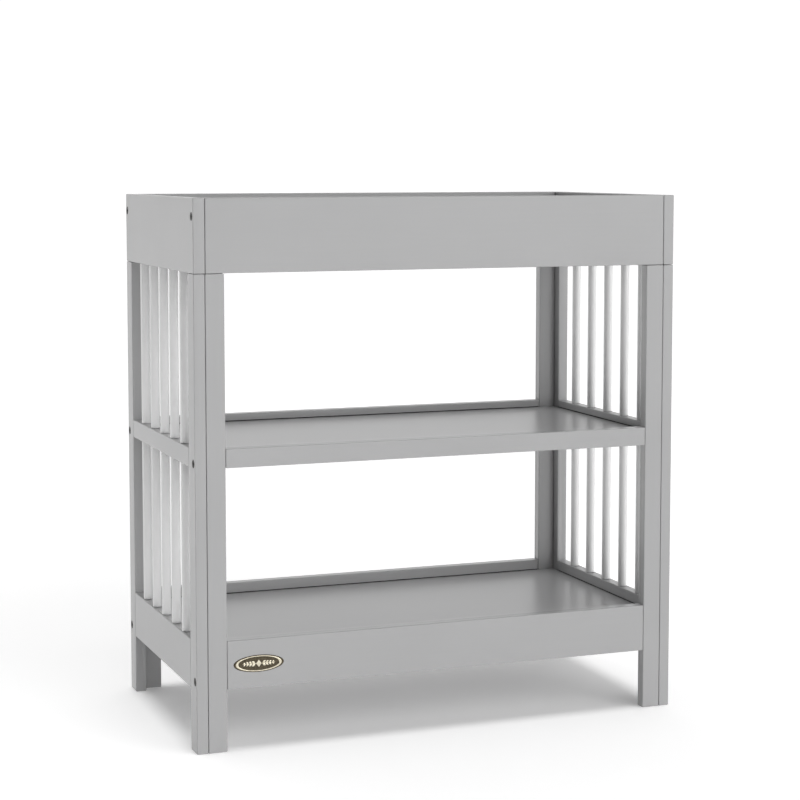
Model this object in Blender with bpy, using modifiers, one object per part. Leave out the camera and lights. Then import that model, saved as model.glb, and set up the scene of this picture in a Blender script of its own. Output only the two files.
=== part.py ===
"""Changing table.

A pad tray stands on four L-shaped legs. Two shelves lie in grooves between the legs, and both ends are
open frames filled with round spindles. Furniture bolts go in from the ends and draw the long rails up tight.
Metres, +Z up, front towards -Y, origin on the floor under the middle of the frame.
"""
import math

import bpy
from mathutils import Matrix, Vector

# Driving dimensions of the frame
WIDTH = 0.878
DEPTH = 0.469
HEIGHT = 0.920
BOARD = 0.020              # thickness of every frame board
STILE_WIDTH = 0.038        # end half of a leg, measured along Y
LEG_PIECE_WIDTH = 0.0325   # front or back half of a leg, measured along X
TRAY_DEPTH = 0.123         # height of the boards round the tray
MID_RAIL_BOTTOM = 0.476
MID_RAIL_HEIGHT = 0.032
MID_SHELF_TOP = 0.494
LOW_RAIL_BOTTOM = 0.105
LOW_RAIL_HEIGHT = 0.082
LOW_SHELF_TOP = 0.167
PANEL = 0.009              # thickness of the tray panel and the shelves
TONGUE = 0.005             # thickness of these panels where they run in their grooves
TRAY_PANEL_BOTTOM = 0.812
EASED_EDGE = 0.0015        # radius of the softened arrises
EASED_EDGE_STEPS = 2
SHARP_CORNER = 40          # degrees; flatter corners are not eased

# Clearances
GAP = 0.0003               # between pieces that touch
SEAM = 0.0005              # between the tray and the legs, and between the halves of a leg
GROOVE = 0.005             # depth of the grooves that hold the tray panel and the shelves
SLOT = 0.0016              # open slot that is left over each shelf in the rails' grooves

# Spindles
SPINDLES_PER_BAY = 5
SPINDLE_DIAMETER = 0.016
PIN_DIAMETER = 0.010       # turned pin on each end of a spindle
PIN_LENGTH = 0.010
SPINDLE_SIDES = 12

# Stub tenons
TENON_THICKNESS = 0.008
TENON_LENGTH = 0.012
TENON_MARGIN = 0.007       # from the edge of the board to the tenon

# Furniture bolts and the bores for their cross nuts
BOLT_HEIGHTS = {"low": 0.121, "mid": 0.485, "tray": 0.890}
BOLT_HEAD_DIAMETER = 0.0146
BOLT_HEAD_HEIGHT = 0.0020
BOLT_HEAD_INSET = 0.0002   # how far the head lies below the face of the board
BOLT_SHANK_DIAMETER = 0.006
BOLT_HOLE_DIAMETER = 0.007
BOLT_HOLE_SPARE = 0.002    # how much deeper the hole is than the bolt is long
BOLT_CHAMFER = 0.0005
BOLT_SIDES = 12
HEX_KEY = 0.004            # across flats
HEX_DEPTH = 0.0014
CROSS_NUT_DIAMETER = 0.0098
CROSS_NUT_LENGTH = 0.0140
CROSS_NUT_SETBACK = 0.030  # from the end of the rail
CROSS_NUT_SLOT = 0.0012    # width of the screwdriver slot that turns the nut into line
BOLT_PAST_NUT = 0.008
TONGUE_SETBACK = 0.040     # a shelf's long tongues stop short of the cross nuts

# Oval badge
BADGE_LENGTH = 0.087
BADGE_HEIGHT = 0.0285
BADGE_THICKNESS = 0.0018
BADGE_RIM = 0.0028
BADGE_FIELD_DEPTH = 0.0005
BADGE_PROUD = 0.0008       # how far it stands out of its recess
BADGE_FROM_SIDE = 0.107
BADGE_CENTRE_HEIGHT = 0.1455
BADGE_SIDES = 36

# Derived places
HALF_W = WIDTH / 2
HALF_D = DEPTH / 2
TRAY_BOTTOM = HEIGHT - TRAY_DEPTH
MID_RAIL_TOP = MID_RAIL_BOTTOM + MID_RAIL_HEIGHT
LOW_RAIL_TOP = LOW_RAIL_BOTTOM + LOW_RAIL_HEIGHT
INNER_W = HALF_W - BOARD
INNER_D = HALF_D - BOARD
LEG_INNER = INNER_W - LEG_PIECE_WIDTH
SIDES = {"left": -1, "right": 1}
FACES = {"front": -1, "back": 1}


def clear_scene():
    for thing in list(bpy.data.objects):
        bpy.data.objects.remove(thing, do_unlink=True)


def collection(name):
    made = bpy.data.collections.new(name)
    bpy.context.scene.collection.children.link(made)
    return made


def material(name, colour, roughness, metallic=0.0):
    made = bpy.data.materials.new(name)
    made.use_nodes = True
    made.diffuse_color = (*colour, 1.0)
    shader = made.node_tree.nodes["Principled BSDF"]
    shader.inputs["Base Color"].default_value = (*colour, 1.0)
    shader.inputs["Roughness"].default_value = roughness
    shader.inputs["Metallic"].default_value = metallic
    return made


def adopt(thing, name, home, finish=None):
    """Name an object, move it to its collection and give it its material."""
    thing.name = name
    thing.data.name = name
    for other in list(thing.users_collection):
        other.objects.unlink(thing)
    home.objects.link(thing)
    if finish:
        thing.data.materials.append(finish)
    return thing


def block(low, high):
    """A box between two corners, its scale already in the mesh."""
    low, high = Vector(low), Vector(high)
    bpy.ops.mesh.primitive_cube_add(size=1.0, location=(low + high) / 2)
    made = bpy.context.object
    made.data.transform(Matrix.Diagonal((*(high - low), 1.0)))
    return made


def ordered(a, b):
    """Two corners sorted into lowest and highest."""
    low = tuple(min(pair) for pair in zip(a, b))
    high = tuple(max(pair) for pair in zip(a, b))
    return low, high


def ease_edges(thing):
    bevel = thing.modifiers.new("eased edges", "BEVEL")
    bevel.width = EASED_EDGE
    bevel.segments = EASED_EDGE_STEPS
    bevel.limit_method = "ANGLE"
    bevel.angle_limit = math.radians(SHARP_CORNER)


def board(name, low, high, finish):
    """A frame board with softened arrises."""
    made = adopt(block(*ordered(low, high)), name, PARTS, finish)
    ease_edges(made)
    return made


def as_cutter(thing, name):
    adopt(thing, name, CUTTERS)
    thing.hide_render = True
    thing.display_type = "WIRE"
    return thing


def cutter_block(name, low, high):
    return as_cutter(block(*ordered(low, high)), name)


def cutter_rod(name, centre, axis, diameter, length, sides=BOLT_SIDES):
    """A round cutter of the given length, centred on a point and lying along an axis."""
    turn = Vector(axis).to_track_quat("Z", "Y").to_euler()
    bpy.ops.mesh.primitive_cylinder_add(
        vertices=sides, radius=diameter / 2, depth=length, location=centre, rotation=turn)
    return as_cutter(bpy.context.object, name)


def combine(thing, tool, operation):
    boolean = thing.modifiers.new(f"{operation.lower()} {tool.name}", "BOOLEAN")
    boolean.operation = operation
    boolean.solver = "EXACT"
    boolean.object = tool


def cut(thing, *tools):
    for tool in tools:
        combine(thing, tool, "DIFFERENCE")


def add_tenon(thing, name, low, high):
    """Join a square stub tenon to a board."""
    combine(thing, cutter_block(name, low, high), "UNION")


def cut_mortise(thing, name, low, high):
    """Sink a mortise that leaves the usual gap round a tenon between the same corners."""
    low, high = ordered(low, high)
    room = Vector((GAP, GAP, GAP))
    cut(thing, cutter_block(name, Vector(low) - room, Vector(high) + room))


def smooth(thing):
    thing.data.shade_smooth()
    thing.data.set_sharp_from_angle(angle=math.radians(SHARP_CORNER))


# Tray

def tray_side(side, sign):
    """End board of the tray: bolted to the long rails, with spindle sockets in its bottom edge."""
    name = f"tray_side_{side}"
    made = board(name, (sign * INNER_W, -HALF_D, TRAY_BOTTOM), (sign * HALF_W, HALF_D, HEIGHT), GREY)
    inner = INNER_D + GROOVE
    cut(made, cutter_block(
        f"{name}_groove",
        (sign * (INNER_W - BOARD), -inner, TRAY_PANEL_BOTTOM - GAP),
        (sign * (INNER_W + GROOVE), inner, TRAY_PANEL_BOTTOM + TONGUE + GAP)))
    for face, facing in FACES.items():
        bolt_way(made, sign, facing, "tray", outermost=True)
        stile_tenon = stile_tenon_corners(sign, facing)
        cut_mortise(made, f"{name}_mortise_{face}", *stile_tenon)
    spindle_sockets(made, sign, TRAY_BOTTOM, 1)


def tray_rail(face, facing):
    """Long board of the tray, between the two end boards."""
    name = f"tray_rail_{face}"
    end = INNER_W - SEAM
    made = board(name, (-end, facing * INNER_D, TRAY_BOTTOM), (end, facing * HALF_D, HEIGHT), GREY)
    cut(made, cutter_block(
        f"{name}_groove",
        (-INNER_W - BOARD, facing * (INNER_D - BOARD), TRAY_PANEL_BOTTOM - GAP),
        (INNER_W + BOARD, facing * (INNER_D + GROOVE), TRAY_PANEL_BOTTOM + TONGUE + GAP)))
    for side, sign in SIDES.items():
        bolt_way(made, sign, facing, "tray", outermost=False)
        cross_nut_bore(made, sign, facing, "tray")
        cut_mortise(made, f"{name}_mortise_{side}", *leg_piece_tenon_corners(sign, facing))


def tray_panel():
    """Floor of the tray, which the pad lies on, with a thinner tongue all round in the boards' grooves."""
    clear_w, clear_d = INNER_W - GAP, INNER_D - GAP
    top = TRAY_PANEL_BOTTOM + PANEL
    made = adopt(
        block((-clear_w, -clear_d, TRAY_PANEL_BOTTOM), (clear_w, clear_d, top)), "tray_panel", PARTS, GREY)
    reach = GROOVE - GAP
    combine(made, cutter_block(
        "tray_panel_tongue",
        (-INNER_W - reach, -INNER_D - reach, TRAY_PANEL_BOTTOM),
        (INNER_W + reach, INNER_D + reach, TRAY_PANEL_BOTTOM + TONGUE)), "UNION")


# Legs

def stile_tenon_corners(sign, facing):
    middle = sign * (HALF_W - BOARD / 2)
    half = TENON_THICKNESS / 2
    outer = facing * (HALF_D - TENON_MARGIN)
    inner = facing * (HALF_D - STILE_WIDTH + TENON_MARGIN)
    foot = TRAY_BOTTOM - BOARD / 2
    return (middle - half, outer, foot), (middle + half, inner, TRAY_BOTTOM + TENON_LENGTH)


def leg_piece_tenon_corners(sign, facing):
    middle = facing * (HALF_D - BOARD / 2)
    half = TENON_THICKNESS / 2
    outer = sign * (INNER_W - TENON_MARGIN)
    inner = sign * (LEG_INNER + TENON_MARGIN)
    foot = TRAY_BOTTOM - BOARD / 2
    return (outer, middle - half, foot), (inner, middle + half, TRAY_BOTTOM + TENON_LENGTH)


def stile(side, sign, face, facing):
    """End half of a leg, which also frames the spindles."""
    name = f"stile_{face}_{side}"
    made = board(
        name,
        (sign * (INNER_W + SEAM), facing * HALF_D, 0.0),
        (sign * HALF_W, facing * (HALF_D - STILE_WIDTH), TRAY_BOTTOM - SEAM), GREY)
    add_tenon(made, f"{name}_tenon", *stile_tenon_corners(sign, facing))
    for level in ("low", "mid"):
        bolt_way(made, sign, facing, level, outermost=True)
        cut_mortise(made, f"{name}_mortise_{level}", *end_rail_tenon_corners(sign, facing, level))


def leg_piece(side, sign, face, facing):
    """Front or back half of a leg, which the long rails butt against."""
    name = f"leg_{face}_{side}"
    made = board(
        name,
        (sign * LEG_INNER, facing * INNER_D, 0.0),
        (sign * INNER_W, facing * HALF_D, TRAY_BOTTOM - SEAM), GREY)
    add_tenon(made, f"{name}_tenon", *leg_piece_tenon_corners(sign, facing))
    for level in ("low", "mid"):
        bolt_way(made, sign, facing, level, outermost=False)


# Rails and shelves

RAIL_LEVELS = {
    "low": (LOW_RAIL_BOTTOM, LOW_RAIL_TOP, LOW_SHELF_TOP),
    "mid": (MID_RAIL_BOTTOM, MID_RAIL_TOP, MID_SHELF_TOP),
}


def end_rail_tenon_corners(sign, facing, level):
    bottom, top, _ = RAIL_LEVELS[level]
    middle = sign * (HALF_W - BOARD / 2)
    half = TENON_THICKNESS / 2
    shoulder = HALF_D - STILE_WIDTH
    root = facing * (shoulder - GAP - BOARD / 2)
    tip = facing * (shoulder + TENON_LENGTH)
    return (middle - half, root, bottom + TENON_MARGIN), (middle + half, tip, top - TENON_MARGIN)


def end_rail(side, sign, level):
    """Short rail between the stiles of one end, with spindle sockets."""
    bottom, top, _ = RAIL_LEVELS[level]
    name = f"end_rail_{level}_{side}"
    shoulder = HALF_D - STILE_WIDTH - GAP
    made = board(name, (sign * INNER_W, -shoulder, bottom), (sign * HALF_W, shoulder, top), GREY)
    for face, facing in FACES.items():
        add_tenon(made, f"{name}_tenon_{face}", *end_rail_tenon_corners(sign, facing, level))
    shelf_groove(made, level, INNER_W + GROOVE, HALF_D - STILE_WIDTH)
    spindle_sockets(made, sign, top, -1)
    if level == "mid":
        spindle_sockets(made, sign, bottom, 1)


def long_rail(face, facing, level):
    """Rail between the leg pieces, which carries one long edge of a shelf."""
    bottom, top, _ = RAIL_LEVELS[level]
    name = f"shelf_rail_{level}_{face}"
    end = LEG_INNER - GAP
    made = board(name, (-end, facing * INNER_D, bottom), (end, facing * HALF_D, top), GREY)
    for side, sign in SIDES.items():
        bolt_way(made, sign, facing, level, outermost=False)
        cross_nut_bore(made, sign, facing, level)
    shelf_groove(made, level, INNER_W, INNER_D + GROOVE)
    return made


def shelf_groove(thing, level, reach_w, reach_d):
    """Groove for a shelf's tongue, with an open slot left above the shelf."""
    _, _, top = RAIL_LEVELS[level]
    cut(thing, cutter_block(
        f"{thing.name}_groove", (-reach_w, -reach_d, top - PANEL - GAP), (reach_w, reach_d, top + SLOT)))


def shelf(level):
    """Loose shelf panel, with a thinner tongue on each edge in the rails' grooves."""
    _, _, top = RAIL_LEVELS[level]
    clear_w, clear_d = INNER_W - GAP, INNER_D - GAP
    made = adopt(
        block((-clear_w, -clear_d, top - PANEL), (clear_w, clear_d, top)), f"shelf_{level}", PARTS, GREY)
    reach = GROOVE - GAP
    tongues = {
        "end": (INNER_W + reach, HALF_D - STILE_WIDTH - SEAM),
        "long": (LEG_INNER - TONGUE_SETBACK, INNER_D + reach),
    }
    for label, (x, y) in tongues.items():
        combine(made, cutter_block(
            f"shelf_{level}_{label}_tongues", (-x, -y, top - PANEL), (x, y, top - PANEL + TONGUE)), "UNION")


# Spindles

def spindle_rows():
    """The Y of each spindle: equal clear spaces between the stiles and the spindles."""
    bay = DEPTH - 2 * STILE_WIDTH
    space = (bay - SPINDLES_PER_BAY * SPINDLE_DIAMETER) / (SPINDLES_PER_BAY + 1)
    first = -bay / 2 + space + SPINDLE_DIAMETER / 2
    return [first + k * (space + SPINDLE_DIAMETER) for k in range(SPINDLES_PER_BAY)]


def spindle_sockets(thing, sign, face_height, upward):
    """Blind round sockets for the spindle pins, cut up or down into a board's edge."""
    depth = PIN_LENGTH + GAP
    over = BOARD / 2
    middle = face_height + upward * (depth - over) / 2
    for row, y in enumerate(spindle_rows(), start=1):
        way = "up" if upward > 0 else "down"
        cut(thing, cutter_rod(
            f"{thing.name}_socket_{way}_{row}", (sign * (HALF_W - BOARD / 2), y, middle),
            (0, 0, 1), PIN_DIAMETER + 2 * GAP, depth + over, SPINDLE_SIDES))


def turned(name, profile, sides, finish):
    """A solid turned about its Z axis, from radius and height pairs listed top to bottom."""
    mesh = bpy.data.meshes.new(name)
    points = [(radius, 0.0, height) for radius, height in profile]
    mesh.from_pydata(points, [(k, k + 1) for k in range(len(points) - 1)], [])
    made = bpy.data.objects.new(name, mesh)
    adopt(made, name, PARTS, finish)
    screw = made.modifiers.new("turned", "SCREW")
    screw.axis = "Z"
    screw.steps = sides
    screw.render_steps = sides
    screw.use_merge_vertices = True
    screw.merge_threshold = GAP / 10
    screw.use_smooth_shade = True
    return made


def spindle(side, sign, level, row, y):
    """Round spindle with a turned pin on each end."""
    low_end, high_end = {
        "lower": (LOW_RAIL_TOP, MID_RAIL_BOTTOM),
        "upper": (MID_RAIL_TOP, TRAY_BOTTOM),
    }[level]
    half = (high_end - low_end) / 2 - GAP
    body = SPINDLE_DIAMETER / 2
    pin = PIN_DIAMETER / 2
    tip = half + PIN_LENGTH
    profile = [
        (0.0, tip), (pin, tip), (pin, half), (body, half),
        (body, -half), (pin, -half), (pin, -tip), (0.0, -tip)]
    made = turned(f"spindle_{level}_{side}_{row}", profile, SPINDLE_SIDES, WHITE)
    made.location = (sign * (HALF_W - BOARD / 2), y, (low_end + high_end) / 2)


# Bolts

def bolt_length(level):
    """Through the leg or the tray end, and on past the middle of the cross nut."""
    through = BOARD if level == "tray" else BOARD + LEG_PIECE_WIDTH
    return through + CROSS_NUT_SETBACK + BOLT_PAST_NUT


def bolt_axis_y(facing):
    return facing * (HALF_D - BOARD / 2)


def bolt_way(thing, sign, facing, level, outermost):
    """Clearance hole along X for one bolt, with a recess for its head in the outermost board."""
    y = bolt_axis_y(facing)
    z = BOLT_HEIGHTS[level]
    hole_end = bolt_length(level) + BOLT_HOLE_SPARE
    cut(thing, cutter_rod(
        f"{thing.name}_bolt_hole", (sign * (HALF_W + BOARD - (hole_end + BOARD) / 2), y, z),
        (1, 0, 0), BOLT_HOLE_DIAMETER, hole_end + BOARD))
    if outermost:
        recess = BOLT_HEAD_HEIGHT + BOLT_HEAD_INSET + GAP
        cut(thing, cutter_rod(
            f"{thing.name}_bolt_recess", (sign * HALF_W, y, z), (1, 0, 0),
            BOLT_HEAD_DIAMETER + 2 * GAP, 2 * recess))


def cross_nut_x(sign, level):
    rail_end = INNER_W if level == "tray" else LEG_INNER
    return sign * (rail_end - CROSS_NUT_SETBACK)


def cross_nut_bore(thing, sign, facing, level):
    """Blind bore for a cross nut, from the inside of a long rail across the bolt."""
    bottom = HALF_D - BOARD / 2 + CROSS_NUT_LENGTH / 2 + GAP
    mouth = INNER_D - BOARD
    cut(thing, cutter_rod(
        f"{thing.name}_nut_bore",
        (cross_nut_x(sign, level), facing * (bottom + mouth) / 2, BOLT_HEIGHTS[level]),
        (0, 1, 0), CROSS_NUT_DIAMETER + 2 * GAP, bottom - mouth))


def cross_nut(side, sign, face, facing, level):
    """Round cross nut, drilled through for the bolt, with a screwdriver slot in its inner end."""
    name = f"cross_nut_{level}_{face}_{side}"
    spot = Vector((cross_nut_x(sign, level), bolt_axis_y(facing), BOLT_HEIGHTS[level]))
    turn = Vector((0, -facing, 0)).to_track_quat("Z", "Y").to_euler()
    bpy.ops.mesh.primitive_cylinder_add(
        vertices=BOLT_SIDES, radius=CROSS_NUT_DIAMETER / 2, depth=CROSS_NUT_LENGTH,
        location=spot, rotation=turn)
    made = adopt(bpy.context.object, name, PARTS, ZINC)
    smooth(made)
    cut(made, cutter_rod(
        f"{name}_hole", spot, (1, 0, 0), BOLT_SHANK_DIAMETER + 2 * GAP, 2 * CROSS_NUT_DIAMETER))
    inner_end = spot.y - facing * CROSS_NUT_LENGTH / 2
    across = Vector((CROSS_NUT_DIAMETER, CROSS_NUT_SLOT, CROSS_NUT_SLOT / 2))
    end = Vector((spot.x, inner_end, spot.z))
    cut(made, cutter_block(f"{name}_slot", end - across, end + across))


def bolt(side, sign, face, facing, level):
    """Flat-headed furniture bolt with a hexagon socket."""
    head = BOLT_HEAD_DIAMETER / 2
    shank = BOLT_SHANK_DIAMETER / 2
    tip = -bolt_length(level)
    name = f"bolt_{level}_{face}_{side}"
    profile = [
        (0.0, 0.0), (head - BOLT_CHAMFER, 0.0), (head, -BOLT_CHAMFER), (head, -BOLT_HEAD_HEIGHT),
        (shank, -BOLT_HEAD_HEIGHT), (shank, tip + BOLT_CHAMFER), (shank - BOLT_CHAMFER, tip), (0.0, tip)]
    made = turned(name, profile, BOLT_SIDES, BRONZE)
    bpy.ops.mesh.primitive_cylinder_add(
        vertices=6, radius=HEX_KEY / math.sqrt(3), depth=2 * HEX_DEPTH)
    socket = as_cutter(bpy.context.object, f"{name}_hexagon")
    cut(made, socket)
    spot = Vector((sign * (HALF_W - BOLT_HEAD_INSET), bolt_axis_y(facing), BOLT_HEIGHTS[level]))
    turn = Vector((sign, 0, 0)).to_track_quat("Z", "Y").to_euler()
    for thing in (made, socket):
        thing.location = spot
        thing.rotation_euler = turn


# Badge

def oval(length, height, depth, centre):
    """An elliptical plate that faces -Y."""
    bpy.ops.mesh.primitive_cylinder_add(
        vertices=BADGE_SIDES, radius=0.5, depth=1.0, location=centre, rotation=(math.pi / 2, 0, 0))
    made = bpy.context.object
    made.data.transform(Matrix.Diagonal((length, height, depth, 1.0)))
    return made


def badge_centre(depth_from_face):
    return Vector((-HALF_W + BADGE_FROM_SIDE, -HALF_D + depth_from_face, BADGE_CENTRE_HEIGHT))


def badge(front_rail):
    """Blank oval badge with a raised rim, let into the low front rail."""
    middle = BADGE_THICKNESS / 2 - BADGE_PROUD
    made = adopt(
        oval(BADGE_LENGTH, BADGE_HEIGHT, BADGE_THICKNESS, badge_centre(middle)),
        "badge", PARTS, BRASS)
    field = oval(
        BADGE_LENGTH - 2 * BADGE_RIM, BADGE_HEIGHT - 2 * BADGE_RIM,
        2 * BADGE_FIELD_DEPTH, badge_centre(-BADGE_PROUD))
    cut(made, as_cutter(field, "badge_field_cutter"))
    recess = oval(
        BADGE_LENGTH + 2 * GAP, BADGE_HEIGHT + 2 * GAP,
        2 * (BADGE_THICKNESS - BADGE_PROUD + GAP), badge_centre(0.0))
    cut(front_rail, as_cutter(recess, "badge_recess_cutter"))


def build():
    tray_panel()
    for side, sign in SIDES.items():
        tray_side(side, sign)
        for level in RAIL_LEVELS:
            end_rail(side, sign, level)
        for face, facing in FACES.items():
            stile(side, sign, face, facing)
            leg_piece(side, sign, face, facing)
            for level in BOLT_HEIGHTS:
                bolt(side, sign, face, facing, level)
            cross_nut(side, sign, face, facing, "tray")
        for level in ("lower", "upper"):
            for row, y in enumerate(spindle_rows(), start=1):
                spindle(side, sign, level, row, y)
    for face, facing in FACES.items():
        tray_rail(face, facing)
        for level in RAIL_LEVELS:
            rail = long_rail(face, facing, level)
            if face == "front" and level == "low":
                badge(rail)
    for level in RAIL_LEVELS:
        shelf(level)


clear_scene()
PARTS = collection("changing_table")
CUTTERS = collection("changing_table_cutters")
GREY = material("grey_painted_wood", (0.42, 0.42, 0.43), 0.42)
WHITE = material("white_painted_wood", (0.86, 0.86, 0.86), 0.40)
BRONZE = material("dark_bronze_bolt", (0.06, 0.05, 0.045), 0.38, 0.9)
ZINC = material("zinc_plated_nut", (0.62, 0.62, 0.63), 0.34, 0.9)
BRASS = material("antique_brass_badge", (0.42, 0.35, 0.25), 0.36, 0.9)
build()
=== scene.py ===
"""Looks of the changing table: paint, turned spindles, bolts, cross nuts, badge, floor, light and camera."""
import math

import bmesh
import bpy
from mathutils import Matrix, Vector


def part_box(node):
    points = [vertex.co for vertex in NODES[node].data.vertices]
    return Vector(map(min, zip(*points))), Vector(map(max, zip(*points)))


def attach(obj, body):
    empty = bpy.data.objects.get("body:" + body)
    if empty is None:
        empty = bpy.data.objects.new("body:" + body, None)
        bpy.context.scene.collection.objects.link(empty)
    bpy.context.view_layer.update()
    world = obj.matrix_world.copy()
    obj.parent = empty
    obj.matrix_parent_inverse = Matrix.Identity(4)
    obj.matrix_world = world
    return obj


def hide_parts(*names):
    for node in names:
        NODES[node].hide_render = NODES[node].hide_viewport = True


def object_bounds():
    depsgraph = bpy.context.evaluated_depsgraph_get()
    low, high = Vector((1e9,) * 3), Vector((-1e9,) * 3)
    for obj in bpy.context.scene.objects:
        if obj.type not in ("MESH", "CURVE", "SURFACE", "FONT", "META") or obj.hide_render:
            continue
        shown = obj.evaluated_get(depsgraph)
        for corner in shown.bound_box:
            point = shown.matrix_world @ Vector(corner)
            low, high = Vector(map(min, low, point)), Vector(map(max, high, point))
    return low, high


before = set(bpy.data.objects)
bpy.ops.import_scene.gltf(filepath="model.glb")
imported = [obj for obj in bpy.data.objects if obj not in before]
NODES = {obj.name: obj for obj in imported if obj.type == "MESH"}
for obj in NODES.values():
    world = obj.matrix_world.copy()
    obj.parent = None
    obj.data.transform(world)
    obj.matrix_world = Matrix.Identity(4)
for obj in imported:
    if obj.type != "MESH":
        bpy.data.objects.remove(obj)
CAD_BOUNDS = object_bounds()
BODY = "root"

# Sizes are in metres, angles in degrees and colours linear, unless a comment says otherwise

# Camera, in front of the table and to its left, a little above the rim
CAMERA_PLACE = (-1.289, -3.410, 0.976)
CAMERA_YAW = 20.84          # turned right from +Y
CAMERA_PITCH = 4.89         # below the horizon
CAMERA_LENS = 90.9          # millimetres, as the sensor's width
CAMERA_SENSOR = 36.0
CAMERA_SHIFT = -0.08

# Paint, and the near-black colour inside the grooves: unpainted fibreboard darkened as painted shade. The broad
# shelves' paint is a little paler than the frame's, as painted light, and smoother
GREY_PAINT = (0.370, 0.370, 0.373)
SHELF_PAINT_WITH_PAINTED_LIGHT = (0.436, 0.436, 0.439)
WHITE_PAINT = (0.785, 0.785, 0.785)
BARE_BOARD_AND_GROOVE_SHADE = (0.030, 0.026, 0.022)
SHELF_SHEEN = {"rough": (0.28, 0.30), "coat": (0.0, 0.16), "specular": 0.3, "relief": 0.15}
WHITE_ROUGHNESS = (0.26, 0.34)

# How the paint's tone varies, as shares of its colour
MOTTLE_DARK = 0.982
MOTTLE_PALE = 1.018
GRAIN_TINT = (0.985, 0.985, 0.985, 1.0)

# Fineness of the paint's patterns
MOTTLE_SCALE = 5.0
GRAIN_SCALE = 240.0
PORE_SCALE = 520.0
PEEL_SCALE = 620.0
ALONG_GRAIN = 0.035         # share of that fineness that is left along the board
PORE_STRETCH = 3.0

# Height and strength of their relief
PEEL_RELIEF = (0.00003, 0.35)
GRAIN_RELIEF = (0.00006, 0.30)
PORE_RELIEF = (0.00004, 0.20)

# Metals: bright and dark tone of the patina, then the range of roughness
DARK_BRONZE = ((0.018, 0.016, 0.014), (0.007, 0.006, 0.005), (0.40, 0.55))
ZINC_PLATE = ((0.62, 0.62, 0.63), (0.45, 0.45, 0.47), (0.28, 0.40))
ANTIQUE_BRASS = ((0.80, 0.75, 0.62), (0.62, 0.56, 0.42), (0.22, 0.34))
ANTIQUE_BRASS_FIELD = ((0.12, 0.10, 0.068), (0.06, 0.052, 0.038), (0.36, 0.50))
BADGE_WEAR_SCALE = 220.0
SCRATCH_FINENESS = 14.0     # against the fineness of the patina
SCRATCH_RELIEF = (0.00004, 0.5)

# Reach of the painted shade in a groove, over and under the shelf: the open slot and the gap, and 0.2 mm more
GROOVE_SHADE_OVER = 0.0018
GROOVE_SHADE_UNDER = 0.0005
# Painted shade starts this far inside the mouth of a groove, where the spray stops, and on a shelf's edge from
# this far before it
GROOVE_SHADE_INSET = 0.0004
FAR_OUT = 1.0               # beyond every board
WELD_REACH = 0.00002        # corners closer than this are joined

# Pools of soft light in the sky: azimuth from the front towards the right, elevation, falloff, strength
SOFT_LIGHTS = [
    (0, 25, 20, 2.35), (30, 25, 20, 2.25), (45, 8, 6, 1.92), (135, 8, 6, 0.96), (180, 8, 6, 0.66),
    (225, 8, 6, 1.08), (240, 10, 20, 0.35), (180, 48, 6, 0.50), (270, 65, 20, 0.80), (0, 90, 30, 2.20)]
BACKDROP_STRENGTH = 1.05

# The floor glows a little all over, and more strongly outwards from just inside the table's edges, which paints
# a soft shadow under the table
FLOOR_SIZE = 60.0
FLOOR_TONES = ((0.945, 0.943, 0.944, 1.0), (0.955, 0.953, 0.954, 1.0))
FLOOR_ROUGHNESS = 0.9
HAZE_SCALE = 1.5
FLOOR_GLOW = 0.090
PAINTED_SHADOW_GLOW = 0.29
GLOW_INSET = 0.030
GLOW_RAMP = 0.045

# Spindles
SPINDLE_SIDES = 48
SPINDLE_PIN_RADIUS = 0.005
SPINDLE_PIN_LENGTH = 0.010
SPINDLE_EASE = 0.0008

# Bolts
BOLT_SIDES = 40
BOLT_HEAD = 0.0020          # thickness
BOLT_SHANK_RADIUS = 0.0030
BOLT_EASE = 0.0005
BOLT_HEAD_CHAMFER = 0.0002
BOLT_HEAD_DISH = (0.00008, 0.00005)     # depth of the head's hollow at its middle and round the socket
SOCKET_RADIUS = 0.0024
SOCKET_DEPTH = 0.0014
SOCKET_RIM = 1.35           # against the socket's radius
THREAD_START = 0.55         # share of the bolt's length
THREAD_PITCH = 0.0010
THREAD_DEPTH = 0.0004
THREAD_RUNOUT = 0.001

# Cross nuts
NUT_SIDES = 32
NUT_EASE = 0.0004
NUT_SLOT_WIDTH = 0.0012
NUT_SLOT_DEPTH = 0.0012
NUT_SLOT_LENGTH = 1.5       # against the nut's radius
NUT_HOLE_RADIUS = 0.0032
NUT_HOLE_SIDES = 24

# Badge. Its section: share of the full oval, depth behind the front, finish
BRIGHT = 0
DARK = 1
BADGE_SIDES = 96
BADGE_FIELD = 0.0007        # depth of the sunk field behind the front
BADGE_SECTION = [
    (1.0, 0.0006, DARK), (0.994, 0.00035, DARK), (0.98, 0.00018, DARK), (0.96, 0.00012, DARK),
    (0.93, 0.00016, DARK), (0.915, 0.00034, DARK), (0.905, 0.00016, BRIGHT), (0.885, 0.00002, BRIGHT),
    (0.865, 0.0, BRIGHT), (0.845, 0.00004, BRIGHT), (0.825, 0.00022, BRIGHT), (0.818, 0.0006, BRIGHT),
    (0.81, BADGE_FIELD, DARK), (0.74, BADGE_FIELD, DARK)]

# Its sprig: heights are shares of the badge's half height, lengths are shares of the sprig's reach
SPRIG_REACH = 0.68          # share of the badge's half length
SPRIG_RISE = 0.0005
SPRIG_ROOT = 0.0002         # how far the sprig stands in the field
LOZENGE_HEIGHT = 0.42
LOZENGE_SLIMNESS = 0.8
STEM_ENDS = (0.17, 0.94)
STEM_HEIGHT = 0.035
STEM_TOP = 0.9              # how much of an outline is left at the top of its relief
LEAF_TOP = 0.55
LEAF_PAIRS = 4
LEAF_SHRINK = 0.13          # from pair to pair
LEAF_START = 0.22
LEAF_STEP = 0.19
LEAF_ANGLE = 34.0
LEAF_LENGTH = 0.22
LEAF_HEIGHT = 0.26
LEAF_POINTS = 7

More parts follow.
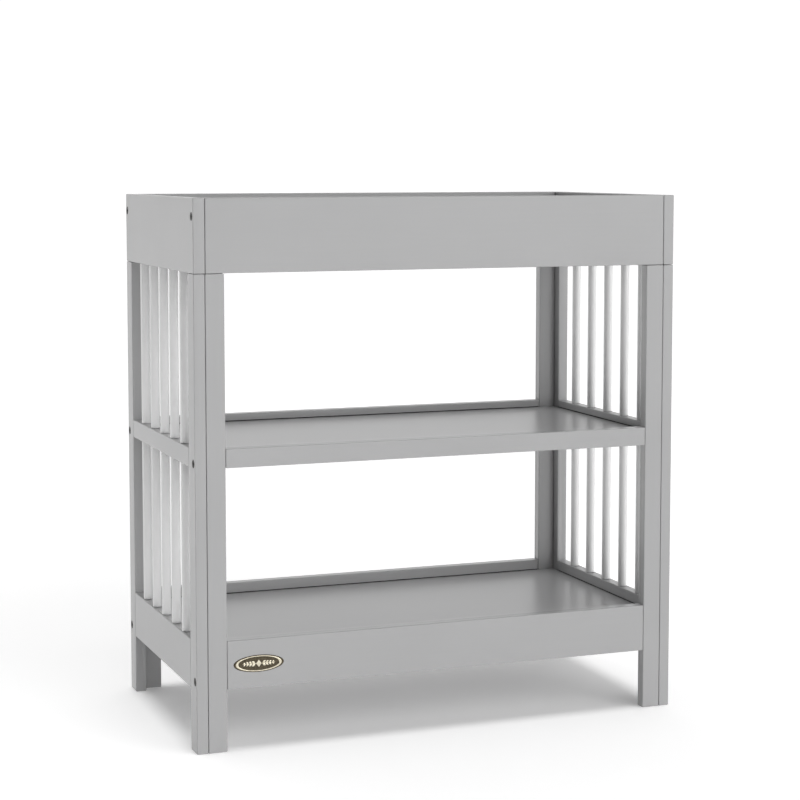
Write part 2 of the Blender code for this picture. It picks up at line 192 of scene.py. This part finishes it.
# Edges between faces that meet at more than this stay sharp
SHARP_TURNED = 35.0
SHARP_BADGE = 50.0


# Materials

def new_material(name):
    made = bpy.data.materials.new(name)
    made.use_nodes = True
    made.node_tree.nodes.clear()
    return made


class Nodes:
    """Short hand for adding and linking shader nodes."""

    def __init__(self, made):
        self.tree = made.node_tree

    def add(self, kind, settings=None, **inputs):
        node = self.tree.nodes.new(kind)
        for key, value in (settings or {}).items():
            setattr(node, key, value)
        for key, value in inputs.items():
            self.feed(node.inputs[key.replace("_", " ")], value)
        return node

    def feed(self, socket, value):
        if isinstance(value, bpy.types.NodeSocket):
            self.tree.links.new(value, socket)
        else:
            socket.default_value = value

    def math(self, operation, a, b=0.0):
        node = self.add("ShaderNodeMath", {"operation": operation})
        self.feed(node.inputs[0], a)
        self.feed(node.inputs[1], b)
        return node.outputs[0]

    def place(self, stretch):
        """The point on the object, its coordinates multiplied for stretched patterns."""
        spot = self.add("ShaderNodeTexCoord").outputs["Object"]
        mapping = self.add("ShaderNodeMapping")
        self.feed(mapping.inputs["Vector"], spot)
        self.feed(mapping.inputs["Scale"], stretch)
        return mapping.outputs["Vector"]

    def coordinates(self):
        """The X, Y and Z of the point on the object."""
        parts = self.add("ShaderNodeSeparateXYZ")
        self.feed(parts.inputs[0], self.add("ShaderNodeTexCoord").outputs["Object"])
        return parts.outputs

    def noise(self, vector, scale, detail, roughness=0.5, distortion=0.0):
        node = self.add("ShaderNodeTexNoise")
        self.feed(node.inputs["Vector"], vector)
        for key, value in (("Scale", scale), ("Detail", detail), ("Roughness", roughness),
                           ("Distortion", distortion)):
            self.feed(node.inputs[key], value)
        return node.outputs["Fac"]

    def spread(self, value, low, high, from_low=0.3, from_high=0.7):
        """A value between from_low and from_high, such as most of a noise, brought between low and high."""
        node = self.add("ShaderNodeMapRange")
        for key, item in (("Value", value), ("From Min", from_low), ("From Max", from_high),
                          ("To Min", low), ("To Max", high)):
            self.feed(node.inputs[key], item)
        return node.outputs["Result"]

    def mix(self, fac, a, b, blend="MIX"):
        """Two colours mixed. The node's colour sockets share their names with others, so they go by index."""
        node = self.add("ShaderNodeMix", {"data_type": "RGBA", "blend_type": blend})
        self.feed(node.inputs[0], fac)
        self.feed(node.inputs[6], a)
        self.feed(node.inputs[7], b)
        return node.outputs[2]

    def bump(self, height, distance, strength, normal=None):
        node = self.add("ShaderNodeBump")
        self.feed(node.inputs["Height"], height)
        self.feed(node.inputs["Distance"], distance)
        self.feed(node.inputs["Strength"], strength)
        if normal:
            self.feed(node.inputs["Normal"], normal)
        return node.outputs["Normal"]

    def principled(self, colour, roughness, normal, **fixed):
        shader = self.add("ShaderNodeBsdfPrincipled")
        self.feed(shader.inputs["Base Color"], colour)
        self.feed(shader.inputs["Roughness"], roughness)
        if normal:
            self.feed(shader.inputs["Normal"], normal)
        for key, value in fixed.items():
            shader.inputs[key.replace("_", " ")].default_value = value
        out = self.add("ShaderNodeOutputMaterial")
        self.feed(out.inputs["Surface"], shader.outputs["BSDF"])
        return shader


def scaled(colour, k):
    return (*[min(1.0, c * k) for c in colour], 1.0)


def beyond(n, axis, start, end):
    """1 where the distance from the middle plane of an axis lies between start and end, 0 elsewhere."""
    distance = n.math("ABSOLUTE", n.coordinates()[axis])
    return n.math("MULTIPLY", n.math("GREATER_THAN", distance, start), n.math("LESS_THAN", distance, end))


def shelf_bands(n):
    """1 at the heights of the shelves' grooves, 0 elsewhere."""
    height = n.coordinates()["Z"]
    band = 0.0
    for shelf in ("shelf_low", "shelf_mid"):
        low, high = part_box(shelf)
        bottom, top = low[2] - GROOVE_SHADE_UNDER, high[2] + GROOVE_SHADE_OVER
        off = n.math("ABSOLUTE", n.math("SUBTRACT", height, (bottom + top) / 2))
        band = n.math("ADD", n.math("LESS_THAN", off, (top - bottom) / 2), band)
    return band


def painted_wood(
        name, colour, axis, rough=(0.30, 0.38), coat=(0.25, 0.22), specular=0.5, relief=1.0, groove_shade=None):
    """Sprayed semi-gloss paint over wood: faint grain along the axis, slight orange peel and mottling.
    The last argument gives the share of near-black painted shade in a groove, over the unpainted fibreboard
    that the spray doesn't reach."""
    made = new_material(name)
    n = Nodes(made)
    along = [1.0, 1.0, 1.0]
    along["XYZ".index(axis)] = ALONG_GRAIN
    grain = n.noise(n.place(along), GRAIN_SCALE, detail=4.0, roughness=0.6, distortion=0.4)
    pores = n.noise(n.place([a * PORE_STRETCH for a in along]), PORE_SCALE, detail=2.0)
    even = n.place((1.0, 1.0, 1.0))
    mottle = n.noise(even, MOTTLE_SCALE, detail=3.0, roughness=0.55)
    peel = n.noise(even, PEEL_SCALE, detail=1.0, roughness=0.4)
    tone = n.mix(n.spread(mottle, 0.0, 1.0), scaled(colour, MOTTLE_DARK), scaled(colour, MOTTLE_PALE))
    tone = n.mix(n.spread(grain, 0.0, 1.0), tone, n.mix(1.0, tone, GRAIN_TINT, "MULTIPLY"))
    # Near-black painted shade in the grooves, over the unpainted board
    if groove_shade:
        tone = n.mix(groove_shade(n), tone, (*BARE_BOARD_AND_GROOVE_SHADE, 1.0))
    normal = None
    for pattern, (height, strength) in ((peel, PEEL_RELIEF), (grain, GRAIN_RELIEF), (pores, PORE_RELIEF)):
        normal = n.bump(pattern, height, strength * relief, normal)
    n.principled(
        tone, n.spread(mottle, *rough), normal,
        Specular_IOR_Level=specular, Coat_Weight=coat[0], Coat_Roughness=coat[1])
    return made


def metal(name, bright, dark, rough, wear_scale=90.0):
    """Plated metal with a patina that lies in cloudy patches, and fine scratches."""
    made = new_material(name)
    n = Nodes(made)
    even = n.place((1.0, 1.0, 1.0))
    cloud = n.noise(even, wear_scale, detail=4.0, roughness=0.6)
    fine = n.noise(even, wear_scale * SCRATCH_FINENESS, detail=2.0)
    tone = n.mix(n.spread(cloud, 0.0, 1.0), (*bright, 1.0), (*dark, 1.0))
    normal = n.bump(fine, *SCRATCH_RELIEF)
    n.principled(tone, n.spread(cloud, *rough), normal, Metallic=1.0)
    return made


# Meshes

def link(mesh, name, finishes=()):
    made = bpy.data.objects.new(name, mesh)
    bpy.context.scene.collection.objects.link(made)
    for finish in finishes:
        made.data.materials.append(finish)
    return made


def round_shading(mesh, sharp):
    mesh.shade_smooth()
    mesh.set_sharp_from_angle(angle=math.radians(sharp))


def turned_mesh(name, profile, sides):
    """A closed solid turned about Z from radius and height pairs, top to bottom, first and last on the axis."""
    shape = bmesh.new()
    turns = [2 * math.pi * k / sides for k in range(sides)]
    rings = []
    for radius, height in profile:
        if radius == 0.0:
            rings.append([shape.verts.new((0.0, 0.0, height))])
            continue
        rings.append([shape.verts.new((radius * math.cos(t), radius * math.sin(t), height)) for t in turns])
    for upper, lower in zip(rings, rings[1:]):
        for k in range(sides):
            j = (k + 1) % sides
            if len(upper) == 1:
                shape.faces.new((upper[0], lower[k], lower[j]))
            elif len(lower) == 1:
                shape.faces.new((upper[j], upper[k], lower[0]))
            else:
                shape.faces.new((upper[j], upper[k], lower[k], lower[j]))
    mesh = bpy.data.meshes.new(name)
    shape.to_mesh(mesh)
    shape.free()
    round_shading(mesh, SHARP_TURNED)
    return mesh


def eased_corner(radius, height, ease, steps):
    """A quarter round in a turned profile, from a flat top at the height down to a side at the radius."""
    turns = [math.radians(90.0 - 90.0 * k / steps) for k in range(steps + 1)]
    return [(radius - ease + ease * math.cos(t), height - ease + ease * math.sin(t)) for t in turns]


def carved(body, cutters):
    """The mesh that is left of a body when its cutters are taken from it. Body and cutters are used up."""
    for tool in cutters:
        cut = body.modifiers.new("cut", "BOOLEAN")
        cut.operation = "DIFFERENCE"
        cut.solver = "EXACT"
        cut.object = tool
    bpy.context.view_layer.update()
    mesh = bpy.data.meshes.new_from_object(body.evaluated_get(bpy.context.evaluated_depsgraph_get()))
    for thing in (body, *cutters):
        bpy.data.objects.remove(thing)
    round_shading(mesh, SHARP_TURNED)
    return mesh


def middle(node):
    low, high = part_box(node)
    return (Vector(low) + Vector(high)) / 2


def nodes_of(kind):
    return sorted(name for name in NODES if name.startswith(kind))


# Boards keep their modelled shape; the paint and the shading of their softened edges are added here

def grain_axis(name):
    if name.startswith(("stile", "leg")):
        return "Z"
    if name.startswith(("end_rail", "tray_side")):
        return "Y"
    return "X"


def groove_shade_places():
    """For each kind of board, the function that gives its share of near-black painted shade over unpainted
    board: inside the rails' grooves, and on the edges of the shelves that stand in them."""
    long_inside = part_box("shelf_rail_mid_back")[0][1]
    end_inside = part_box("end_rail_mid_right")[0][0]
    tongue_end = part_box("shelf_mid")[1]

    def in_groove(axis, mouth, end):
        return lambda n: n.math("MULTIPLY", beyond(n, axis, mouth + GROOVE_SHADE_INSET, end + GROOVE_SHADE_INSET), shelf_bands(n))

    def on_shelf(n):
        ends = beyond(n, "X", end_inside - GROOVE_SHADE_INSET, FAR_OUT)
        return n.math("MAXIMUM", ends, beyond(n, "Y", long_inside - GROOVE_SHADE_INSET, FAR_OUT))

    return {
        "plain": None,
        "shelf_rail": in_groove("Y", long_inside, tongue_end[1]),
        "end_rail": in_groove("X", end_inside, tongue_end[0]),
        "shelf": on_shelf,
    }


def finish_boards():
    groove_shade = groove_shade_places()
    sheens = {"shelf": SHELF_SHEEN}
    # The shelves' paler paint is painted light on them
    colours = {"shelf": SHELF_PAINT_WITH_PAINTED_LIGHT}
    paints = {}
    for name, node in NODES.items():
        if name.startswith(("spindle", "bolt", "cross_nut", "badge")):
            continue
        kind = next((k for k in ("shelf_rail", "end_rail", "shelf") if name.startswith(k)), "plain")
        axis = grain_axis(name)
        if (kind, axis) not in paints:
            paints[kind, axis] = painted_wood(
                f"grey_paint_{kind}_{axis.lower()}", colours.get(kind, GREY_PAINT), axis, groove_shade=groove_shade[kind],
                **sheens.get(kind, {}))
        node.data.materials.clear()
        node.data.materials.append(paints[kind, axis])
        weld = node.modifiers.new("joined_corners", "WELD")
        weld.merge_threshold = WELD_REACH
        shading = node.modifiers.new("flat_faces_round_edges", "WEIGHTED_NORMAL")
        shading.mode = "FACE_AREA"
        shading.weight = 100
        shading.keep_sharp = False


def spindle_mesh():
    """One spindle about its own centre: pins, eased shoulders and a plain round body."""
    low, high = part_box("spindle_upper_left_1")
    half = (high[2] - low[2]) / 2
    body = (high[0] - low[0]) / 2
    pin, ease = SPINDLE_PIN_RADIUS, SPINDLE_EASE
    shoulder = half - SPINDLE_PIN_LENGTH
    top = [(0.0, half), (pin - ease, half), (pin, half - ease), (pin, shoulder)]
    top += eased_corner(body, shoulder, ease, 4)
    # A few rings along the body keep the long faces evenly shaded
    rings = [(body, shoulder * share) for share in (0.5, 0.0, -0.5)]
    bottom = [(radius, -height) for radius, height in reversed(top)]
    return turned_mesh("spindle", top + rings + bottom, SPINDLE_SIDES)


def make_spindles():
    mesh = spindle_mesh()
    mesh.materials.append(painted_wood("white_paint_grain_z", WHITE_PAINT, "Z", WHITE_ROUGHNESS))
    for name in nodes_of("spindle"):
        made = link(mesh, f"turned_{name}")
        made.location = middle(name)
        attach(made, BODY)
        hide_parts(name)


def bolt_mesh(name, length, head_radius, bronze):
    """Furniture bolt about the middle of its head's outer face, running down -Z, with a hexagon socket."""
    shank, ease, chamfer = BOLT_SHANK_RADIUS, BOLT_EASE, BOLT_HEAD_CHAMFER
    profile = [(0.0, -BOLT_HEAD_DISH[0]), (SOCKET_RADIUS * SOCKET_RIM, -BOLT_HEAD_DISH[1])]
    profile += eased_corner(head_radius, 0.0, ease, 4)
    profile += [(head_radius, -BOLT_HEAD + chamfer), (head_radius - chamfer, -BOLT_HEAD), (shank, -BOLT_HEAD)]
    # The thread is a run of fine grooves towards the end of the shank
    z = -length * THREAD_START
    profile.append((shank, z))
    while z - THREAD_PITCH > -length + THREAD_RUNOUT:
        profile += [(shank - THREAD_DEPTH, z - THREAD_PITCH / 2), (shank, z - THREAD_PITCH)]
        z -= THREAD_PITCH
    profile += [(shank, -length + ease), (shank - ease, -length), (0.0, -length)]
    blank = link(turned_mesh(name, profile, BOLT_SIDES), name, [bronze])
    bpy.ops.mesh.primitive_cylinder_add(vertices=6, radius=SOCKET_RADIUS, depth=2 * SOCKET_DEPTH)
    return carved(blank, [bpy.context.object])


def make_bolts():
    bronze = metal("dark_bronze", *DARK_BRONZE)
    meshes = {}
    for name in nodes_of("bolt"):
        low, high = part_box(name)
        spot = middle(name)
        sign = 1 if spot.x > 0 else -1
        length = round(high[0] - low[0], 4)
        if length not in meshes:
            meshes[length] = bolt_mesh(
                f"bolt_{round(length * 1000)}_mm", length, (high[2] - low[2]) / 2, bronze)
        made = link(meshes[length], f"cap_{name}")
        made.rotation_euler = Vector((sign, 0, 0)).to_track_quat("Z", "Y").to_euler()
        made.location = (high[0] if sign > 0 else low[0], spot.y, spot.z)
        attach(made, BODY)
        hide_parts(name)


def cross_nut_mesh(radius, length):
    """Round cross nut about its top's middle, running down -Z, with a screwdriver slot and a cross hole."""
    zinc = metal("zinc_plate", *ZINC_PLATE)
    profile = [(0.0, 0.0)] + eased_corner(radius, 0.0, NUT_EASE, 3)
    profile += [(radius, -length + NUT_EASE), (radius - NUT_EASE, -length), (0.0, -length)]
    body = link(turned_mesh("cross_nut", profile, NUT_SIDES), "cross_nut_blank", [zinc])
    bpy.ops.mesh.primitive_cube_add(size=1.0)
    slot = bpy.context.object
    slot.data.transform(Matrix.Diagonal((NUT_SLOT_WIDTH, NUT_SLOT_LENGTH * radius, 2 * NUT_SLOT_DEPTH, 1.0)))
    bpy.ops.mesh.primitive_cylinder_add(
        vertices=NUT_HOLE_SIDES, radius=NUT_HOLE_RADIUS, depth=4 * radius, location=(0, 0, -length / 2),
        rotation=(0, math.pi / 2, 0))
    return carved(body, [slot, bpy.context.object])


def make_cross_nuts():
    """Cross nuts in the bores of the long rails, one for each bolt, with the cross hole along the bolt."""
    low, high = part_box("cross_nut_tray_front_left")
    length = high[1] - low[1]
    mesh = cross_nut_mesh((high[0] - low[0]) / 2, length)
    # Every bolt runs as far past the middle of its nut as this one
    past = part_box("bolt_tray_front_left")[1][0] - middle("cross_nut_tray_front_left").x
    for name in nodes_of("bolt"):
        low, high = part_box(name)
        spot = middle(name)
        spot.x = low[0] + past if spot.x > 0 else high[0] - past
        nut = name.replace("bolt", "cross_nut")
        made = link(mesh, f"slotted_{nut}")
        # The slotted end looks towards the middle of the table
        inwards = Vector((0, -1 if spot.y > 0 else 1, 0))
        made.matrix_world = Matrix.Translation(spot + inwards * length / 2) @ (
            inwards.to_track_quat("Z", "Y").to_matrix().to_4x4())
        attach(made, BODY)
        if nut in NODES:
            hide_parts(nut)


# Badge

def ellipse_ring(shape, half_length, half_height, depth, sides):
    """A ring of vertices round the Y axis, at the given Y."""
    turns = [2 * math.pi * k / sides for k in range(sides)]
    return [shape.verts.new((half_length * math.cos(t), depth, half_height * math.sin(t))) for t in turns]


def bridge(shape, outer, inner, finish):
    sides = len(outer)
    for k in range(sides):
        j = (k + 1) % sides
        face = shape.faces.new((outer[k], outer[j], inner[j], inner[k]))
        face.material_index = finish
        face.smooth = True


def raised(shape, outline, base, top_share):
    """A small relief over an outline in the XZ plane: sloping sides and a flat top."""
    centre = Vector((sum(x for x, _ in outline), sum(z for _, z in outline))) / len(outline)
    rings = []
    for scale, depth in (
            (1.0, base + SPRIG_ROOT), (1.0, base - SPRIG_RISE * 0.5), (top_share, base - SPRIG_RISE)):
        spots = [centre + (Vector(spot) - centre) * scale for spot in outline]
        rings.append([shape.verts.new((spot.x, depth, spot.y)) for spot in spots])
    for outer, inner in zip(rings, rings[1:]):
        bridge(shape, outer, inner, BRIGHT)
    shape.faces.new(rings[-1])
    shape.faces.new(list(reversed(rings[0])))


def leaf_outline(root, angle, length, width):
    """A pointed leaf from its root: a half sine down each side."""
    along = Vector((math.cos(angle), math.sin(angle)))
    across = Vector((-along.y, along.x))
    spine = [k / LEAF_POINTS for k in range(LEAF_POINTS + 1)]
    right = [(t, -width / 2 * math.sin(math.pi * t)) for t in spine]
    left = [(t, width / 2 * math.sin(math.pi * t)) for t in reversed(spine[1:-1])]
    return [tuple(Vector(root) + along * length * t + across * off) for t, off in right + left]


def sprig(shape, field, reach, height):
    """A plain ornament: a lozenge, and on each side a stem with pairs of leaves that grow smaller outwards."""
    tall = height * LOZENGE_HEIGHT
    slim = tall * LOZENGE_SLIMNESS
    raised(shape, [(slim, 0.0), (0.0, tall), (-slim, 0.0), (0.0, -tall)], field, LEAF_TOP)
    thick = height * STEM_HEIGHT
    for sign in (-1, 1):
        inner, outer = [sign * reach * share for share in STEM_ENDS]
        raised(shape, [(inner, -thick), (outer, -thick), (outer, thick), (inner, thick)], field, STEM_TOP)
        for pair in range(LEAF_PAIRS):
            size = 1.0 - LEAF_SHRINK * pair
            root = sign * reach * (LEAF_START + LEAF_STEP * pair)
            for up in (-1, 1):
                angle = math.radians(LEAF_ANGLE) * up
                angle = angle if sign > 0 else math.pi - angle
                raised(shape, leaf_outline(
                    (root, up * thick), angle, reach * LEAF_LENGTH * size, height * LEAF_HEIGHT * size),
                    field, LEAF_TOP)


def make_badge():
    """Blank oval badge: dark rounded edge, bright ring, sunk dark field and a raised sprig."""
    low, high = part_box("badge")
    centre = middle("badge")
    half_length, half_height = (high[0] - low[0]) / 2, (high[2] - low[2]) / 2
    front, back = low[1] - centre.y, high[1] - centre.y
    shape = bmesh.new()
    rings = [
        (ellipse_ring(shape, half_length * share, half_height * share, front + depth, BADGE_SIDES), finish)
        for share, depth, finish in [(1.0, back - front, DARK), *BADGE_SECTION]]
    for (outer, _), (inner, finish) in zip(rings, rings[1:]):
        bridge(shape, outer, inner, finish)
    shape.faces.new(rings[-1][0]).material_index = DARK
    shape.faces.new(list(reversed(rings[0][0]))).material_index = DARK
    sprig(shape, front + BADGE_FIELD, half_length * SPRIG_REACH, half_height)
    bmesh.ops.recalc_face_normals(shape, faces=shape.faces)
    mesh = bpy.data.meshes.new("oval_badge")
    shape.to_mesh(mesh)
    shape.free()
    mesh.set_sharp_from_angle(angle=math.radians(SHARP_BADGE))
    made = link(mesh, "oval_badge", [
        metal("antique_brass", *ANTIQUE_BRASS, BADGE_WEAR_SCALE),
        metal("antique_brass_field", *ANTIQUE_BRASS_FIELD, BADGE_WEAR_SCALE)])
    made.location = centre
    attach(made, BODY)
    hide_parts("badge")


# Stage

def outside_table(n):
    """The distance on the floor from a rectangle that lies a little inside the table's edges."""
    spot = n.coordinates()
    outside = n.add("ShaderNodeCombineXYZ")
    for axis, half in (("X", CAD_BOUNDS[1][0]), ("Y", CAD_BOUNDS[1][1])):
        off = n.math("SUBTRACT", n.math("ABSOLUTE", spot[axis]), half - GLOW_INSET)
        n.feed(outside.inputs[axis], n.math("MAXIMUM", off, 0.0))
    distance = n.add("ShaderNodeVectorMath", {"operation": "LENGTH"})
    n.feed(distance.inputs[0], outside.outputs[0])
    return distance.outputs["Value"]


def make_floor():
    bpy.ops.mesh.primitive_grid_add(x_subdivisions=4, y_subdivisions=4, size=FLOOR_SIZE)
    floor = bpy.context.object
    floor.name = "studio_floor"
    made = new_material("studio_floor")
    n = Nodes(made)
    haze = n.noise(n.place((1.0, 1.0, 1.0)), HAZE_SCALE, detail=2.0)
    tone = n.mix(n.spread(haze, 0.0, 1.0), *FLOOR_TONES)
    # Painted shadow: the floor glows less under the table than round it
    floor_glow_and_painted_shadow = n.spread(outside_table(n), FLOOR_GLOW, FLOOR_GLOW + PAINTED_SHADOW_GLOW, 0.0, GLOW_RAMP)
    shader = n.principled(
        tone, FLOOR_ROUGHNESS, None, Specular_IOR_Level=0.1, Emission_Color=(1.0, 1.0, 1.0, 1.0))
    n.feed(shader.inputs["Emission Strength"], floor_glow_and_painted_shadow)
    floor.data.materials.append(made)


def make_light():
    """Soft studio light from all round, as broad pools in the sky. The backdrop itself is plain white."""
    world = bpy.data.worlds.new("white_studio")
    world.use_nodes = True
    world.node_tree.nodes.clear()
    n = Nodes(world)
    direction = n.add("ShaderNodeTexCoord").outputs["Generated"]
    total = 0.0
    for azimuth, elevation, falloff, strength in SOFT_LIGHTS:
        turn, rise = math.radians(azimuth), math.radians(elevation)
        towards = (math.sin(turn) * math.cos(rise), -math.cos(turn) * math.cos(rise), math.sin(rise))
        aim = n.add("ShaderNodeVectorMath", {"operation": "DOT_PRODUCT"})
        n.feed(aim.inputs[0], direction)
        n.feed(aim.inputs[1], towards)
        pool = n.math("POWER", n.math("MAXIMUM", aim.outputs["Value"], 0.0), falloff)
        total = n.math("ADD", n.math("MULTIPLY", pool, strength), total)
    backdrop = n.add("ShaderNodeLightPath").outputs["Is Camera Ray"]
    strength = n.math("MAXIMUM", total, n.math("MULTIPLY", backdrop, BACKDROP_STRENGTH))
    shader = n.add("ShaderNodeBackground", Color=(1.0, 1.0, 1.0, 1.0), Strength=strength)
    out = n.add("ShaderNodeOutputWorld")
    n.feed(out.inputs["Surface"], shader.outputs["Background"])
    bpy.context.scene.world = world


def make_camera():
    data = bpy.data.cameras.new("camera")
    data.lens = CAMERA_LENS
    data.sensor_width = CAMERA_SENSOR
    data.shift_y = CAMERA_SHIFT
    made = bpy.data.objects.new("camera", data)
    bpy.context.scene.collection.objects.link(made)
    made.location = CAMERA_PLACE
    made.rotation_euler = (math.radians(90.0 - CAMERA_PITCH), 0.0, math.radians(-CAMERA_YAW))
    bpy.context.scene.camera = made


def main():
    bpy.context.scene.view_settings.view_transform = "Standard"
    make_camera()
    make_light()
    make_floor()
    finish_boards()
    make_spindles()
    make_bolts()
    make_cross_nuts()
    make_badge()


main()
